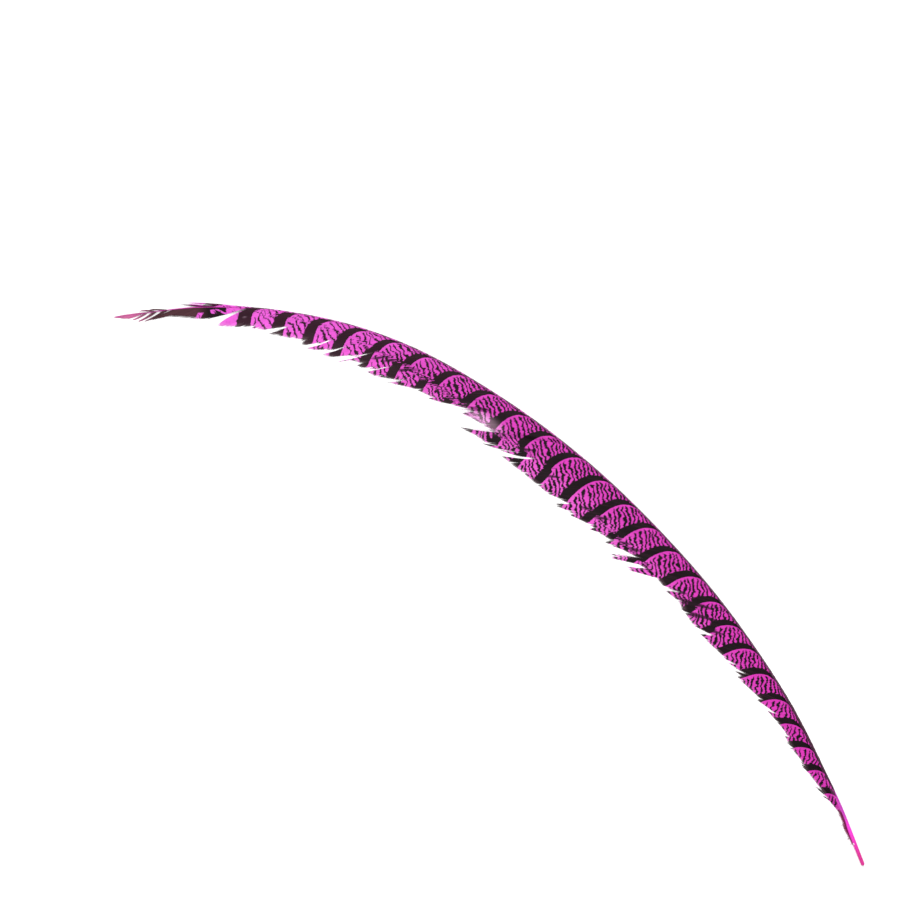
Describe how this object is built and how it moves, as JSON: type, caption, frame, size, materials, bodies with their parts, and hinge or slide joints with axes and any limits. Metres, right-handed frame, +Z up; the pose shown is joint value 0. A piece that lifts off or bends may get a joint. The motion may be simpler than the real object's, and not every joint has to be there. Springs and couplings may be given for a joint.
{
  "type": "pheasant tail feather",
  "caption": "Long bowed side tail feather dyed magenta, with dark bars and fine wavy lines, a frayed wide vane, a narrow folded vane and a bare quill, lying flat.",
  "frame": {"origin": "middle of the bounding box's bottom, on the surface that the feather lies on", "axes": "+X along the straight line from the tip to the quill's end, +Y towards the bow's outer side, where the narrow vane is, +Z up from the surface, out of the feather's outer face"},
  "size_m": [0.608, 0.1092, 0.005],
  "materials": {
    "quill": "glossy dyed keratin, clear magenta, with fine lengthwise streaks",
    "barred_vane": "soft satin barbs, magenta with near-black bars and fine wavy dark lines, pale where worn",
    "dark_tip": "soft satin barbs, dark brown with two pink patches, pinkish brown at the point",
    "down": "matt fine down, brownish magenta"
  },
  "bodies": {
    "root": {"shaft": "quill", "wide_vane": "barred_vane", "tip_vane": "dark_tip", "narrow_vane": "barred_vane", "base_down": "down"}
  },
  "joints": []
}
